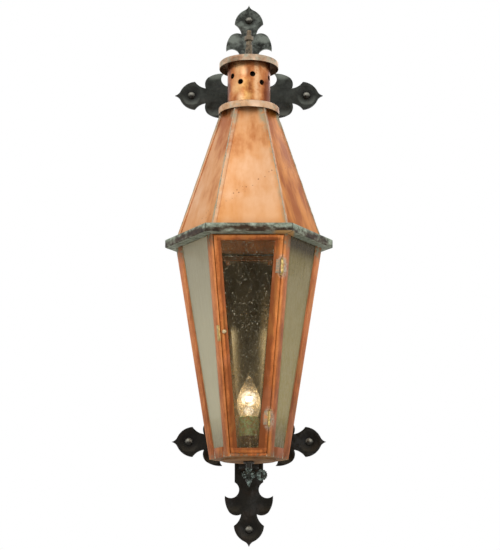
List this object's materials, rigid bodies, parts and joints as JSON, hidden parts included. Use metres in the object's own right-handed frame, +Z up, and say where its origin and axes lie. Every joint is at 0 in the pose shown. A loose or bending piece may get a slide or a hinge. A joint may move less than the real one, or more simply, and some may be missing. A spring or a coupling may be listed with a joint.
{
  "type": "wall lantern",
  "caption": "Six-sided tapering copper wall lantern with glazed body, hinged front door, pyramid roof, vented chimney, lit bulb and gas cock, on a forged iron wall bracket with leaf ends.",
  "frame": {"origin": "on the back face of the iron wall strap, on its centre line, midway between the two cross bars and level with the underside of the copper crown band", "axes": "+X to the right as seen from the front, +Y into the wall, +Z up; the lantern's front door faces -Y"},
  "size_m": [0.3048, 0.317, 1.0532],
  "materials": {
    "forged_iron": "hand-forged, blackened, slightly hammered",
    "arm_iron": "blackened iron with brown rust",
    "screw_steel": "bright worn steel",
    "roof_copper": "weathered copper sheet with verdigris at the seams",
    "chimney_copper": "warm copper tube, lightly stained",
    "cap_copper": "pale oxidised copper with verdigris",
    "crown_copper": "dark oxidised copper with pale verdigris",
    "frame_copper": "reddish copper sheet with soldered seams",
    "door_copper": "reddish copper sheet, soldered corners",
    "pane_glass": "finely streaked translucent sheet glass",
    "door_glass": "clear seeded sheet glass",
    "brass_fittings": "satin brass, a little tarnished",
    "green_brass": "brass under pale verdigris",
    "dark_cup": "dark brown patina",
    "bulb_glass": "clear lamp glass, lit warm white"
  },
  "bodies": {
    "lantern": {"back_strap": "forged_iron", "base_plate": "frame_copper", "bracket_bolts": "screw_steel", "bulb": "bulb_glass", "cap_bridge": "chimney_copper", "cap_nuts": "screw_steel", "cap_stud": "screw_steel", "chimney": "chimney_copper", "chimney_cap": "cap_copper", "chimney_collar": "cap_copper", "crown_band": "crown_copper", "door_catch": "brass_fittings", "feed_pipe": "green_brass", "front_left_pane": "pane_glass", "front_left_post": "frame_copper", "front_left_rail": "frame_copper", "front_left_roof": "roof_copper", "front_right_pane": "pane_glass", "front_right_post": "frame_copper", "front_right_rail": "frame_copper", "front_right_roof": "roof_copper", "front_roof": "roof_copper", "front_sill": "frame_copper", "hinge_frame_leaves": "brass_fittings", "hinge_pins": "brass_fittings", "junction_canopy": "forged_iron", "left_post": "frame_copper", "lower_arm": "arm_iron", "lower_cross_bar": "forged_iron", "pane_clips": "frame_copper", "pipe_locknuts": "green_brass", "rear_left_pane": "pane_glass", "rear_left_post": "frame_copper", "rear_left_rail": "frame_copper", "rear_left_roof": "roof_copper", "rear_pane": "pane_glass", "rear_rail": "frame_copper", "rear_right_pane": "pane_glass", "rear_right_post": "frame_copper", "rear_right_rail": "frame_copper", "rear_right_roof": "roof_copper", "rear_roof": "roof_copper", "right_post": "frame_copper", "socket_cup": "dark_cup", "socket_sleeve": "green_brass", "upper_arm": "forged_iron", "upper_cross_bar": "forged_iron", "valve_body": "green_brass", "wall_screws": "screw_steel"},
    "door": {"door_top_rail": "door_copper", "door_bottom_rail": "door_copper", "door_hinge_stile": "door_copper", "door_latch_stile": "door_copper", "door_glass": "door_glass", "door_glass_clips": "door_copper", "door_knob": "brass_fittings", "hinge_door_leaves": "brass_fittings"},
    "cock_key": {"valve_key": "green_brass", "plug_nut": "green_brass"}
  },
  "joints": [
    {"name": "door_hinge", "type": "hinge", "parent": "lantern", "child": "door", "pos_m": [0.05719, -0.25544, -0.05762], "axis": [0.0803, -0.1391, 0.987], "range_deg": [0, 110]},
    {"name": "key_turn", "type": "hinge", "parent": "lantern", "child": "cock_key", "pos_m": [0, -0.14598, -0.411], "axis": [1, 0, 0], "range_deg": [0, 90]}
  ]
}
